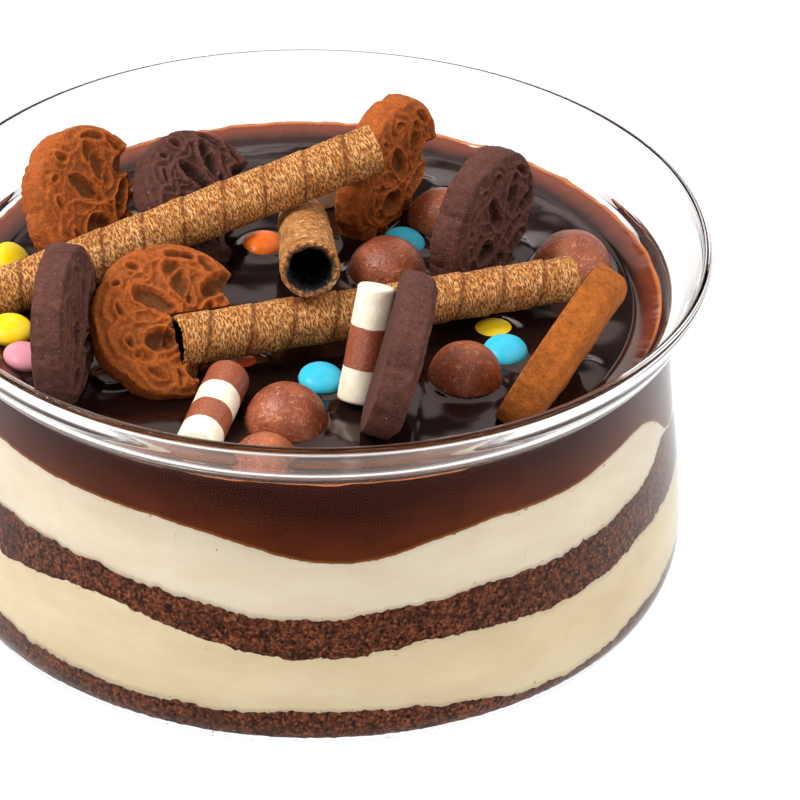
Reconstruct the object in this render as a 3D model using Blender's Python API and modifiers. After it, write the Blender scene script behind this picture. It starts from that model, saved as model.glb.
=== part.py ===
"""Layered trifle in its glass bowl, with biscuits, wafer rolls and sweets on top.

Metres, +Z up.  The origin is the middle of the bowl's base, on the surface that it stands on.
Azimuths are in degrees: 0 is the front (-Y) and 90 is the right (+X).
"""

import math

import bmesh
import bpy
from mathutils import Matrix, Vector

MM = 0.001
GAP = 0.3 * MM

# ---------------------------------------------------------------- glass bowl
RIM_RADIUS = 105.2 * MM
BOWL_HEIGHT = 98.8 * MM
LIP_THICKNESS = 2.4 * MM
COLLAR_FOOT_RADIUS = 101.2 * MM
COLLAR_FOOT_HEIGHT = 87.0 * MM
NECK_RADIUS = 95.3 * MM
NECK_HEIGHT = 83.0 * MM
# The inside of the collar, from the neck up to the lip, as radius and height in millimetres.
COLLAR_INSIDE = ((93.9, 84.6), (97.9, 88.0), (100.2, 92.0))
BELLY_RADIUS = 101.3 * MM
CORNER_RADIUS = 13.1 * MM
WALL_THICKNESS = 2.6 * MM
FLOOR_THICKNESS = 3.4 * MM
WALL_EASE = 1.12
TURN_STEPS = 32

# ---------------------------------------------------------------- layers
GANACHE_LEVEL = 79.0 * MM
GANACHE_FLAT_RADIUS = 85.5 * MM
GANACHE_CLIMB = 2.4 * MM
# Each boundary between two layers, at the glass: its level (mm), then the smooth rises and dips
# on it, as the azimuth of the middle and the width (degrees) and the height (mm).
BOUNDARIES = {
    "lower_sponge_top": (14.4, ((5, 15, 1.8), (42, 16, -4.2), (-70, 30, 3.5), (150, 40, 2.0))),
    "lower_cream_top": (35.0, ((-34, 14, 4.6), (0, 14, -3.2), (42, 14, -2.4), (120, 45, 2.5))),
    "upper_sponge_top": (49.0, ((0, 26, -6.0), (45, 18, -2.4), (74, 8, 4.0), (170, 50, 1.5))),
    "upper_cream_top": (67.0, ((5, 18, -8.6), (42, 14, -2.8), (84, 15, -13.5), (175, 45, -3.0))),
}

# ---------------------------------------------------------------- toppings
ROLL_WALL = 2.2 * MM
STICK_BEVEL = 0.8 * MM
LENTIL_RADIUS = 5.9 * MM
LENTIL_HALF_HEIGHT = 3.0 * MM
COOKIE_EDGE = 6.2 * MM
COOKIE_TOP = 8.8 * MM
PLAIN_COOKIE_THICKNESS = 9.8 * MM
COOKIE_COLUMNS = 24
COOKIE_SCALLOP = 0.35 * MM
# The hollows that the mould leaves in a biscuit's face: the place of each one's middle, its half
# length and half width as fractions of the radius, the turn of its length (degrees) and its depth.
# The first three are deep arches, the next two are long leaves and the last are small ovals.
COOKIE_HOLLOWS = (
    (-0.03, -0.37, 0.26, 0.21, 60.0, 3.2 * MM),
    (0.42, 0.67, 0.24, 0.20, 60.0, 3.4 * MM),
    (0.50, -0.52, 0.24, 0.20, -45.0, 3.4 * MM),
    (-0.24, 0.16, 0.34, 0.13, -11.0, 2.2 * MM),
    (0.08, 0.42, 0.32, 0.13, 124.0, 2.2 * MM),
    (-0.70, -0.17, 0.15, 0.11, 80.0, 1.6 * MM),
    (0.02, -0.80, 0.17, 0.11, 0.0, 1.6 * MM),
    (-0.60, 0.50, 0.16, 0.11, 45.0, 1.6 * MM),
    (-0.46, -0.58, 0.13, 0.11, 50.0, 2.0 * MM),
)


def clear_scene():
    for obj in list(bpy.data.objects):
        bpy.data.objects.remove(obj, do_unlink=True)


def new_collection(name):
    collection = bpy.data.collections.new(name)
    bpy.context.scene.collection.children.link(collection)
    return collection


def material(name, color, roughness, transmission=0.0):
    made = bpy.data.materials.new(name)
    made.use_nodes = True
    shader = made.node_tree.nodes["Principled BSDF"]
    shader.inputs["Base Color"].default_value = (*color, 1.0)
    shader.inputs["Roughness"].default_value = roughness
    shader.inputs["Metallic"].default_value = 0.0
    shader.inputs["Transmission Weight"].default_value = transmission
    made.diffuse_color = (*color, 1.0)
    return made


def new_object(name, mesh, collection, surface):
    obj = bpy.data.objects.new(name, mesh)
    collection.objects.link(obj)
    if surface:
        obj.data.materials.append(surface)
    return obj


def mesh_from(bm, name):
    """Close the bmesh's book-keeping, face it outwards and turn it into a mesh."""
    bmesh.ops.recalc_face_normals(bm, faces=bm.faces)
    mesh = bpy.data.meshes.new(name)
    bm.to_mesh(mesh)
    bm.free()
    mesh.shade_smooth()
    mesh.set_sharp_from_angle(angle=math.radians(40))
    return mesh


def smooth_step(t):
    t = min(max(t, 0.0), 1.0)
    return t * t * (3.0 - 2.0 * t)


def arc(center, radius, start, end, count):
    """Points on an arc in the profile plane; the angles are in degrees from +X."""
    points = []
    for i in range(count):
        angle = math.radians(start + (end - start) * i / (count - 1))
        points.append((center[0] + radius * math.cos(angle), center[1] + radius * math.sin(angle)))
    return points


def outer_radius(z):
    """Outside radius of the wall between the base's corner and the neck."""
    t = (NECK_HEIGHT - z) / (NECK_HEIGHT - CORNER_RADIUS)
    t = min(max(t, 0.0), 1.0) ** WALL_EASE
    return NECK_RADIUS + (BELLY_RADIUS - NECK_RADIUS) * smooth_step(t)


def inner_radius(z):
    """Inside radius of the glass from the floor up to the neck."""
    if z >= CORNER_RADIUS:
        return outer_radius(z) - WALL_THICKNESS
    reach = CORNER_RADIUS - WALL_THICKNESS
    drop = min(CORNER_RADIUS - z, reach)
    return BELLY_RADIUS - CORNER_RADIUS + math.sqrt(reach ** 2 - drop ** 2)


def inner_corner(inset):
    """Profile points round the inside corner, moved inwards by an inset."""
    reach = CORNER_RADIUS - WALL_THICKNESS - inset
    corner_in = BELLY_RADIUS - CORNER_RADIUS
    floor_angle = -math.degrees(math.asin((CORNER_RADIUS - FLOOR_THICKNESS - inset) / reach))
    return arc((corner_in, CORNER_RADIUS), reach, floor_angle, 0, 5)


def bowl_profile():
    """From the middle of the inside floor, up the inside, over the rim and down the outside."""
    corner_in = BELLY_RADIUS - CORNER_RADIUS
    wall_heights = [CORNER_RADIUS + (NECK_HEIGHT - CORNER_RADIUS) * k / 5 for k in range(6)]
    inside = [(0.0, FLOOR_THICKNESS)] + inner_corner(0.0)
    inside += [(inner_radius(z), z) for z in wall_heights[1:]]
    lip_centre = (RIM_RADIUS - LIP_THICKNESS / 2, BOWL_HEIGHT - LIP_THICKNESS / 2)
    lip = arc(lip_centre, LIP_THICKNESS / 2, 180, 0, 3)
    flare = [(radius * MM, height * MM) for radius, height in COLLAR_INSIDE]
    collar_foot = [
        (COLLAR_FOOT_RADIUS, COLLAR_FOOT_HEIGHT),
        (COLLAR_FOOT_RADIUS - 0.8 * MM, COLLAR_FOOT_HEIGHT - 0.9 * MM),
        (NECK_RADIUS + 1.0 * MM, NECK_HEIGHT + 1.6 * MM),
    ]
    outside = [(outer_radius(z), z) for z in reversed(wall_heights[::2] + wall_heights[-1:])]
    corner = arc((corner_in, CORNER_RADIUS), CORNER_RADIUS, 0, -90, 5)[1:]
    return inside + flare + lip + collar_foot + outside + corner + [(0.0, 0.0)]


def turned(name, profile, collection, surface, steps=TURN_STEPS):
    """A profile in the XZ plane turned about Z with a Screw modifier."""
    mesh = bpy.data.meshes.new(name)
    bm = bmesh.new()
    verts = [bm.verts.new((x, 0.0, z)) for x, z in profile]
    for first, second in zip(verts, verts[1:]):
        bm.edges.new((first, second))
    bm.to_mesh(mesh)
    bm.free()
    obj = new_object(name, mesh, collection, surface)
    screw = obj.modifiers.new("Turn", "SCREW")
    screw.axis = "Z"
    screw.steps = steps
    screw.render_steps = steps
    screw.use_merge_vertices = True
    screw.merge_threshold = 0.00001
    screw.use_smooth_shade = True
    return obj


# ---------------------------------------------------------------- layers
def bump(azimuth, middle, width, height):
    """A smooth rise of the given height around one azimuth."""
    away = (azimuth - middle + 180.0) % 360.0 - 180.0
    return height * math.exp(-(away / width) ** 2)


def boundary_height(kind, azimuth):
    """Height at the glass of the boundary between two layers."""
    level, rises = BOUNDARIES[kind]
    return level * MM + sum(bump(azimuth, middle, width, height * MM) for middle, width, height in rises)


def mean_height(kind):
    turns = [360.0 * i / TURN_STEPS for i in range(TURN_STEPS)]
    return sum(boundary_height(kind, a) for a in turns) / TURN_STEPS


def boundary_ring(kind, fraction, shift):
    """One ring of points on a boundary, at a fraction of the way out to the glass."""
    ring = []
    middle = mean_height(kind)
    for i in range(TURN_STEPS):
        angle = 2.0 * math.pi * i / TURN_STEPS
        azimuth = math.degrees(angle) + 90.0
        at_glass = boundary_height(kind, azimuth)
        z = middle + (at_glass - middle) * fraction ** 2 + shift
        radius = (inner_radius(at_glass + shift) - GAP) * fraction
        ring.append((radius * math.cos(angle), radius * math.sin(angle), z))
    return ring


def side_rings(low_ring, high_ring, count):
    """Rings between two edge rings that follow the inside of the glass."""
    rings = []
    for k in range(1, count + 1):
        share = k / (count + 1)
        ring = []
        for low, high in zip(low_ring, high_ring):
            z = low[2] + (high[2] - low[2]) * share
            angle = math.atan2(low[1], low[0])
            radius = inner_radius(z) - GAP
            ring.append((radius * math.cos(angle), radius * math.sin(angle), z))
        rings.append(ring)
    return rings


def flat_ring(radius, z):
    turns = [2.0 * math.pi * i / TURN_STEPS for i in range(TURN_STEPS)]
    return [(radius * math.cos(a), radius * math.sin(a), z) for a in turns]


def lofted(name, bottom_z, rings, top_z, collection, surface):
    """A closed body through rings of points, with a middle point under and over them.

    Every quadrilateral is split the same way, from its inner ring's first point, so that two
    layers on the same boundary keep their gap.
    """
    bm = bmesh.new()
    loops = [[bm.verts.new(point) for point in ring] for ring in rings]
    bottom = bm.verts.new((0.0, 0.0, bottom_z))
    top = bm.verts.new((0.0, 0.0, top_z))
    for i in range(TURN_STEPS):
        j = (i + 1) % TURN_STEPS
        bm.faces.new((bottom, loops[0][j], loops[0][i]))
        bm.faces.new((top, loops[-1][i], loops[-1][j]))
        for low, high in zip(loops, loops[1:]):
            if low[i].co.xy.length < high[i].co.xy.length:
                bm.faces.new((low[i], low[j], high[j]))
                bm.faces.new((low[i], high[j], high[i]))
            else:
                bm.faces.new((low[i], low[j], high[i]))
                bm.faces.new((low[j], high[j], high[i]))
    return new_object(name, mesh_from(bm, name), collection, surface)


def layer(name, low_kind, high_kind, side_count, collection, surface):
    """A layer of food between two boundaries, or from the floor where low_kind is None."""
    if low_kind:
        low = [boundary_ring(low_kind, f, GAP / 2) for f in (0.55, 1.0)]
        bottom_z = mean_height(low_kind) + GAP / 2
    else:
        low = [flat_ring(radius, z) for radius, z in inner_corner(1.5 * GAP)[:3]]
        bottom_z = low[0][0][2]
    high = [boundary_ring(high_kind, f, -GAP / 2) for f in (1.0, 0.55)]
    sides = side_rings(low[-1], high[0], side_count)
    return lofted(name, bottom_z, low + sides + high, mean_height(high_kind) - GAP / 2, collection, surface)


def ganache(collection, surface):
    """The top layer: flat in the middle, and drawn a little up the glass at its edge."""
    low = [boundary_ring("upper_cream_top", f, GAP / 2) for f in (0.55, 1.0)]
    bottom_z = mean_height("upper_cream_top") + GAP / 2
    edge_z = GANACHE_LEVEL + GANACHE_CLIMB
    edge_radius = inner_radius(edge_z) - GAP
    edge = flat_ring(edge_radius, edge_z)
    shoulder = flat_ring(
        (edge_radius + GANACHE_FLAT_RADIUS) / 2 + 0.4 * MM, GANACHE_LEVEL + 0.72 * GANACHE_CLIMB)
    flat = flat_ring(GANACHE_FLAT_RADIUS, GANACHE_LEVEL)
    rings = low + side_rings(low[-1], edge, 1) + [edge, shoulder, flat]
    return lofted("ganache", bottom_z, rings, GANACHE_LEVEL, collection, surface)


# ---------------------------------------------------------------- toppings
def lay_between(obj, start, end):
    """Put an object that was made along Z, from the origin, between two points."""
    direction = Vector(end) - Vector(start)
    turn = direction.to_track_quat("Z", "Y").to_matrix().to_4x4()
    obj.matrix_world = Matrix.Translation(Vector(start)) @ turn


def stand(obj, centre, azimuth, elevation, spin=0.0):
    """Face an object's local +Z towards an azimuth and an elevation, then spin it about that."""
    obj.matrix_world = (
        Matrix.Translation(Vector(centre))
        @ Matrix.Rotation(math.radians(azimuth), 4, "Z")
        @ Matrix.Rotation(math.radians(90.0 - elevation), 4, "X")
        @ Matrix.Rotation(math.radians(spin), 4, "Z")
    )


def roll_mesh(name, length, first_radius, last_radius, wall, grow=0.0):
    """A hollow wafer tube along Z, as a closed ring turned in 16 steps.

    grow makes it larger all round and solid, for the room that it takes in its neighbours.
    """
    steps = 16
    bm = bmesh.new()
    first, last = first_radius + grow, last_radius + grow
    low, high = -grow, length + grow
    section = [(first, low), (last, high)]
    if not grow:
        section = [(first - wall, low), (first, low), (last, high), (last - wall, high)]
    turns = [2.0 * math.pi * i / steps for i in range(steps)]
    loops = [[bm.verts.new((r * math.cos(a), r * math.sin(a), z)) for a in turns] for r, z in section]
    pairs = list(zip(loops, loops[1:] + loops[:1])) if not grow else [(loops[0], loops[1])]
    for loop, following in pairs:
        for i in range(steps):
            j = (i + 1) % steps
            bm.faces.new((loop[i], loop[j], following[j], following[i]))
    if grow:
        bm.faces.new(loops[0])
        bm.faces.new(loops[1])
    return mesh_from(bm, name)


def stick_mesh(name, length, radius, bevel=STICK_BEVEL, steps=12):
    """A solid round stick along Z with its end edges rounded off."""
    bm = bmesh.new()
    bmesh.ops.create_cone(
        bm, cap_ends=True, segments=steps, radius1=radius, radius2=radius, depth=length,
        matrix=Matrix.Translation((0.0, 0.0, length / 2)))
    if bevel:
        rims = [e for e in bm.edges if abs(e.verts[0].co.z - e.verts[1].co.z) < length / 100]
        bmesh.ops.bevel(bm, geom=rims, offset=bevel, segments=1, affect="EDGES")
    return mesh_from(bm, name)


def ball_mesh(name, radius, squash=1.0, segments=12, rings=6):
    bm = bmesh.new()
    bmesh.ops.create_uvsphere(bm, u_segments=segments, v_segments=rings, radius=radius)
    bmesh.ops.scale(bm, vec=(1.0, 1.0, squash), verts=bm.verts)
    return mesh_from(bm, name)


def cookie_height(x, y):
    """Thickness of the moulded biscuit at a place on its face, in fractions of its radius.

    The face has a rounded shoulder, and the hollows of its mould.
    """
    shoulder = smooth_step((1.0 - math.hypot(x, y)) / 0.22)
    height = COOKIE_EDGE + (COOKIE_TOP - COOKIE_EDGE) * shoulder
    for middle_x, middle_y, half_length, half_width, turn, depth in COOKIE_HOLLOWS:
        cosine, sine = math.cos(math.radians(turn)), math.sin(math.radians(turn))
        along = ((x - middle_x) * cosine + (y - middle_y) * sine) / half_length
        across = ((y - middle_y) * cosine - (x - middle_x) * sine) / half_width
        height -= depth * math.exp(-(along ** 2 + across ** 2) ** 2)
    return height


def cookie_mesh(name, radius, kept, plain=False, grow=0.0):
    """A round moulded biscuit, its middle at the origin and its face towards local +Z.

    It is broken off along a straight line on its local +X side, at the fraction kept of its
    radius.  A plain one has a smooth face.  grow makes it larger all round, for its pocket.
    """
    fractions = (1.0,) if plain or grow else (0.26, 0.44, 0.6, 0.78, 1.0)
    thickness = PLAIN_COOKIE_THICKNESS if plain else COOKIE_TOP
    flat_height = thickness + 2 * grow
    back = -flat_height / 2
    bm = bmesh.new()
    middle_height = flat_height if plain or grow else cookie_height(0.0, 0.0)
    top_middle = bm.verts.new((0.0, 0.0, back + middle_height))
    bottom_middle = bm.verts.new((0.0, 0.0, back))
    rows = []
    for fraction in fractions:
        row = []
        for i in range(COOKIE_COLUMNS):
            angle = 2.0 * math.pi * (i + 0.5) / COOKIE_COLUMNS
            x, y = math.cos(angle), math.sin(angle)
            scallop = COOKIE_SCALLOP * (1 if i % 2 else -1) * fraction ** 4
            reach = (radius + scallop) * fraction + grow
            height = flat_height if plain or grow else cookie_height(fraction * x, fraction * y)
            row.append(bm.verts.new((reach * x, reach * y, back + height)))
        rows.append(row)
    rows.append([bm.verts.new((v.co.x, v.co.y, back)) for v in rows[-1]])
    for i in range(COOKIE_COLUMNS):
        j = (i + 1) % COOKIE_COLUMNS
        bm.faces.new((top_middle, rows[0][i], rows[0][j]))
        bm.faces.new((bottom_middle, rows[-1][j], rows[-1][i]))
        for inner, outer in zip(rows, rows[1:]):
            bm.faces.new((inner[i], outer[i], outer[j], inner[j]))
    cut = bmesh.ops.bisect_plane(
        bm, geom=bm.verts[:] + bm.edges[:] + bm.faces[:], dist=0.01 * MM,
        plane_co=(radius * kept + grow, 0.0, 0.0), plane_no=(1.0, 0.0, 0.0), clear_outer=True)
    broken = [item for item in cut["geom_cut"] if isinstance(item, bmesh.types.BMEdge)]
    bmesh.ops.triangulate(bm, faces=bmesh.ops.holes_fill(bm, edges=broken)["faces"])
    return mesh_from(bm, name)


# Each wafer roll: its first end and radius there, its other end and radius there (millimetres).
ROLLS = {
    "wafer_roll_front": ((-34.7, -40.4, 89.3), 6.9, (69.0, -4.2, 88.0), 6.1),
    "wafer_roll_middle": ((-0.7, -30.4, 104.9), 7.8, (-2.8, 25.8, 87.4), 6.9),
    "wafer_roll_back": ((-86.6, -9.6, 82.2), 6.8, (16.9, 23.4, 111.4), 6.8),
}

# Each striped stick: foot, top, radius (millimetres).
STICKS = {
    "stick_standing": ((11.1, -53.0, 79.8), (16.3, -42.9, 108.0), 4.9),
    "stick_lying": ((-21.1, -49.8, 84.5), (-28.5, -83.0, 84.5), 5.7),
    "stick_hidden": ((4.5, 46.5, 84.0), (-2.6, 62.0, 84.0), 5.0),
}

# Each biscuit: middle (mm), radius, azimuth and elevation that its face looks to, the direction
# in which its broken side lies, as an angle from its own right, the fraction of its radius that
# is kept on that side, and its kind.
COOKIES = {
    "cookie_dark_front": ((22.0, -62.2, 99.3), 21.2, 85.0, -14.5, -90.0, 0.97, "dark"),
    "cookie_plain_right": ((63.5, -52.8, 95.4), 23.5, 66.0, -25.0, -90.0, 0.97, "plain"),
    "cookie_dark_left": ((-62.2, -46.8, 98.1), 20.3, 81.0, 3.0, -90.0, 0.97, "dark"),
    "cookie_brown_left": ((-36.2, -34.8, 91.3), 21.0, 24.0, 50.0, -34.0, 0.62, "brown"),
    "cookie_brown_back_left": ((-59.6, 22.0, 93.8), 21.3, 56.0, 30.0, -35.0, 0.55, "brown"),
    "cookie_dark_back": ((-29.5, 29.8, 91.0), 20.5, 58.0, 49.0, -60.0, 0.5, "dark"),
    "cookie_brown_back": ((20.6, 44.6, 91.0), 22.0, 60.0, 0.0, -48.0, 0.5, "brown"),
    "cookie_dark_right": ((45.6, 11.0, 94.8), 21.4, 58.0, -2.0, -50.0, 0.75, "dark"),
}

# What a biscuit is broken or dented round.
NOTCHES = (
    ("cookie_brown_left", "wafer_roll_front"),
    ("cookie_brown_left", "stick_lying"),
    ("cookie_dark_left", "cookie_brown_left"),
    ("cookie_brown_back", "wafer_roll_back"),
    ("cookie_brown_back_left", "wafer_roll_back"),
    ("cookie_dark_front", "stick_standing"),
)

# Each chocolate ball: centre and radius (millimetres).
BALLS = {
    "ball_middle": ((20.0, 11.4, 79.0), 10.9),
    "ball_right": ((39.5, -41.4, 79.8), 9.85),
    "ball_front": ((-6.3, -62.6, 79.0), 10.9),
    "ball_front_edge": ((-11.4, -82.0, 79.0), 8.7),
    "ball_far_right": ((70.0, 15.5, 79.0), 11.0),
    "ball_back": ((35.4, 40.2, 79.0), 9.9),
}

# Each sugar-shelled lentil: centre (mm), azimuth and elevation that its flat side looks to, colour.
LENTILS = {
    "lentil_yellow_right": ((47.7, -16.0, 77.9), 0.0, 90.0, "yellow"),
    "lentil_blue_right": ((50.2, -28.5, 80.0), 0.0, 78.0, "blue"),
    "lentil_blue_front": ((2.4, -43.5, 80.4), 20.0, 80.0, "blue"),
    "lentil_blue_middle": ((24.8, 27.4, 79.6), 40.0, 75.0, "blue"),
    "lentil_orange_back": ((-13.5, 26.1, 79.2), 0.0, 85.0, "orange"),
    "lentil_yellow_left": ((-78.6, -22.0, 81.0), 20.0, 80.0, "yellow"),
    "lentil_pink_left": ((-73.8, -34.0, 80.2), 90.0, 80.0, "pink"),
    "lentil_yellow_back": ((-80.4, 11.0, 82.0), 60.0, 45.0, "yellow"),
    "lentil_yellow_middle": ((-5.0, -11.5, 79.5), 0.0, 90.0, "yellow"),
    "lentil_blue_hidden": ((8.0, -8.0, 79.5), 0.0, 90.0, "blue"),
    "lentil_red_front": ((-16.8, -35.0, 77.2), 0.0, 85.0, "red"),
}


def in_metres(point):
    return tuple(value * MM for value in point)


def add_pocket(obj, mesh, pockets):
    """The room that a topping takes in what it stands in, as a cutter in the same place."""
    pocket = new_object(obj.name + "_pocket", mesh, pockets, None)
    pocket.matrix_world = obj.matrix_world


def add_rolls(collection, pockets, surface):
    for name, (start, first_radius, end, last_radius) in ROLLS.items():
        start, end = in_metres(start), in_metres(end)
        length = (Vector(end) - Vector(start)).length
        sizes = (length, first_radius * MM, last_radius * MM, ROLL_WALL)
        obj = new_object(name, roll_mesh(name, *sizes), collection, surface)
        lay_between(obj, start, end)
        add_pocket(obj, roll_mesh(name, *sizes, grow=1.5 * GAP), pockets)


def add_sticks(collection, pockets, surface):
    for name, (foot, top, radius) in STICKS.items():
        foot, top = in_metres(foot), in_metres(top)
        length = (Vector(top) - Vector(foot)).length
        obj = new_object(name, stick_mesh(name, length, radius * MM), collection, surface)
        lay_between(obj, foot, top)
        pocket_mesh = stick_mesh(name, length + 2 * GAP, radius * MM + GAP, bevel=0.0)
        pocket_mesh.transform(Matrix.Translation((0.0, 0.0, -GAP)))
        add_pocket(obj, pocket_mesh, pockets)


def add_cookies(collection, pockets, surfaces):
    for name, (centre, radius, azimuth, elevation, broken, kept, kind) in COOKIES.items():
        mesh = cookie_mesh(name, radius * MM, kept, plain=kind == "plain")
        obj = new_object(name, mesh, collection, surfaces["cookie_" + kind])
        stand(obj, in_metres(centre), azimuth, elevation, broken)
        pocket_mesh = cookie_mesh(name, radius * MM, kept, plain=kind == "plain", grow=1.5 * GAP)
        add_pocket(obj, pocket_mesh, pockets)
    for name, other in NOTCHES:
        notch = bpy.data.objects[name].modifiers.new("Notch", "BOOLEAN")
        notch.operation = "DIFFERENCE"
        notch.object = bpy.data.objects[other + "_pocket"]
        notch.solver = "EXACT"


def add_balls(collection, pockets, surface):
    for name, (centre, radius) in BALLS.items():
        obj = new_object(name, ball_mesh(name, radius * MM), collection, surface)
        obj.location = in_metres(centre)
        bpy.context.view_layer.update()
        add_pocket(obj, ball_mesh(name, radius * MM + GAP), pockets)


def add_lentils(collection, pockets, surfaces):
    squash = LENTIL_HALF_HEIGHT / LENTIL_RADIUS
    for name, (centre, azimuth, elevation, colour) in LENTILS.items():
        mesh = ball_mesh(name, LENTIL_RADIUS, squash, 10, 5)
        obj = new_object(name, mesh, collection, surfaces["lentil_" + colour])
        stand(obj, in_metres(centre), azimuth, elevation)
        grown = LENTIL_RADIUS + 1.5 * GAP
        grown_squash = (LENTIL_HALF_HEIGHT + 1.5 * GAP) / grown
        add_pocket(obj, ball_mesh(name, grown, grown_squash, 10, 5), pockets)


def hide_cutters(cutters):
    for cutter in cutters.objects:
        cutter.hide_render = True
        cutter.display_type = "WIRE"


def make_surfaces():
    return {
        "glass": material("glass", (0.95, 0.97, 0.97), 0.02, 1.0),
        "sponge": material("sponge", (0.075, 0.028, 0.018), 0.9),
        "cream": material("cream", (0.82, 0.70, 0.48), 0.5),
        "ganache": material("ganache", (0.025, 0.011, 0.008), 0.12),
        "wafer": material("wafer", (0.58, 0.33, 0.13), 0.75),
        "stick": material("stick", (0.80, 0.70, 0.52), 0.35),
        "cookie_brown": material("cookie_brown", (0.36, 0.13, 0.03), 0.8),
        "cookie_plain": material("cookie_plain", (0.52, 0.20, 0.04), 0.8),
        "cookie_dark": material("cookie_dark", (0.055, 0.028, 0.024), 0.8),
        "ball": material("ball", (0.26, 0.085, 0.045), 0.35),
        "lentil_blue": material("lentil_blue", (0.01, 0.45, 0.70), 0.2),
        "lentil_yellow": material("lentil_yellow", (0.88, 0.62, 0.0), 0.2),
        "lentil_orange": material("lentil_orange", (0.86, 0.17, 0.0), 0.2),
        "lentil_red": material("lentil_red", (0.70, 0.07, 0.01), 0.2),
        "lentil_pink": material("lentil_pink", (0.75, 0.26, 0.45), 0.2),
    }


def main():
    clear_scene()
    trifle = new_collection("trifle")
    pockets = new_collection("pockets")
    surfaces = make_surfaces()
    turned("glass_bowl", bowl_profile(), trifle, surfaces["glass"])
    layer("sponge_lower", None, "lower_sponge_top", 1, trifle, surfaces["sponge"])
    layer("cream_lower", "lower_sponge_top", "lower_cream_top", 2, trifle, surfaces["cream"])
    layer("sponge_upper", "lower_cream_top", "upper_sponge_top", 1, trifle, surfaces["sponge"])
    layer("cream_upper", "upper_sponge_top", "upper_cream_top", 1, trifle, surfaces["cream"])
    top_layer = ganache(trifle, surfaces["ganache"])
    add_rolls(trifle, pockets, surfaces["wafer"])
    add_sticks(trifle, pockets, surfaces["stick"])
    add_cookies(trifle, pockets, surfaces)
    add_balls(trifle, pockets, surfaces["ball"])
    add_lentils(trifle, pockets, surfaces)
    cut = top_layer.modifiers.new("Pockets", "BOOLEAN")
    cut.operation = "DIFFERENCE"
    cut.operand_type = "COLLECTION"
    cut.collection = pockets
    cut.solver = "EXACT"
    hide_cutters(pockets)


main()
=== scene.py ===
"""The looks of the layered trifle: glass, food layers, biscuits, wafer rolls and sweets.

Lengths are in metres unless a name or a comment says millimetres.  Azimuths are in degrees:
0 is the front (-Y) and 90 is the right (+X).  The toppings stand where their CAD solids stand.
"""
import math
import random

import bmesh
import bpy
import numpy as np
from mathutils import Matrix, Vector, noise


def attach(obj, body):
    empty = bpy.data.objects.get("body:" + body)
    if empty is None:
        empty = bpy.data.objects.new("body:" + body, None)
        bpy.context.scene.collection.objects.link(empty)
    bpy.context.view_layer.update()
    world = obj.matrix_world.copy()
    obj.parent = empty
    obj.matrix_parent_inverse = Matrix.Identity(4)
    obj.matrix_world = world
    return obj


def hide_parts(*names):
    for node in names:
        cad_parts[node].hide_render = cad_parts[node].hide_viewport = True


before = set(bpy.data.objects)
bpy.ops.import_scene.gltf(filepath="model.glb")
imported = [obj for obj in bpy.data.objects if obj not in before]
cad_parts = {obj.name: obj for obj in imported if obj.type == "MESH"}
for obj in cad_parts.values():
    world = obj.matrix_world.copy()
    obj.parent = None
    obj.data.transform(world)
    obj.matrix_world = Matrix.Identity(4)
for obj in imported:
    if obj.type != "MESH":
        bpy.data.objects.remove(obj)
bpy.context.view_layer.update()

MM = 0.001

# ---------------------------------------------------------------- camera and light
# The camera's place (metres), its turns (degrees), and its lens on a film 36 mm wide (mm).
CAMERA_PLACE = (0.0, -0.8660, 0.5988)
CAMERA_DOWN = 32.53
CAMERA_YAW = 1.337
CAMERA_ROLL = 0.560
CAMERA_LENS = 170.67
FILM_WIDTH = 36.0
# Brightness of the studio by height: the upward part of a direction, and the share of the strength.
WORLD_RAMP = ((0.37, 1.00), (0.43, 0.05), (0.535, 0.05), (0.565, 0.75), (0.75, 1.0))
WORLD_STRENGTH = 1.3
WORLD_TINT = (1.0, 0.97, 0.95)
FLOOR_RADIUS = 4.0
FLOOR_GREY = 0.10
FLOOR_GLOW = 0.97
# Each square area light: its name, place, side (metres) and power (watts), and what all aim at.
SOFTBOXES = (
    ("key", (-0.8, -0.1, 1.2), 0.45, 22.0),
    ("fill", (1.3, -0.6, 1.0), 0.9, 12.0),
)
LIGHT_AIM = (0.0, 0.0, 0.07)

# ---------------------------------------------------------------- glass bowl
RIM_RADIUS = 105.2 * MM
BOWL_HEIGHT = 98.8 * MM
LIP_THICKNESS = 2.4 * MM
COLLAR_FOOT_RADIUS = 101.2 * MM
COLLAR_FOOT_HEIGHT = 87.0 * MM
NECK_RADIUS = 95.3 * MM
NECK_HEIGHT = 83.0 * MM
# The inside of the collar, from the neck up to the lip, as radius and height in millimetres.
COLLAR_INSIDE = ((93.9, 84.6), (97.9, 88.0), (100.2, 92.0))
BELLY_RADIUS = 101.3 * MM
CORNER_RADIUS = 13.1 * MM
WALL_THICKNESS = 2.6 * MM
FLOOR_THICKNESS = 3.4 * MM
WALL_EASE = 1.12
GLASS_STEPS = 192
GLASS_IOR = 1.45
GLASS_SHEEN = 0.04

# ---------------------------------------------------------------- layers
# How far the layers reach into the wall, so that no air gap shows, and their least thickness.
WALL_BITE = 0.35 * MM
LEAST_LAYER = 0.5 * MM
LAYER_STEPS = 800
# Where the lowest sponge leaves the glass, and its rounded foot as radius and rise in millimetres.
SPONGE_FOOT = 7.8 * MM
SPONGE_CORNER = ((50.0, 0.0), (82.0, 0.0), (88.0, 0.8), (92.5, 2.3), (95.6, 3.8))
# The loose crumbs under it: how many, their radii (mm), and where they lie on the rounded corner of
# the glass, as angles below the horizontal (degrees).
CRUMB_COUNT = 320
CRUMB_SIZES = (0.25, 0.75)
CRUMB_SLOPES = (-64.0, -34.0)
CRUMB_SEED = 7
GANACHE_LEVEL = 79.0 * MM
GANACHE_FLAT_RADIUS = 85.5 * MM
GANACHE_CLIMB = 2.4 * MM
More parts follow.
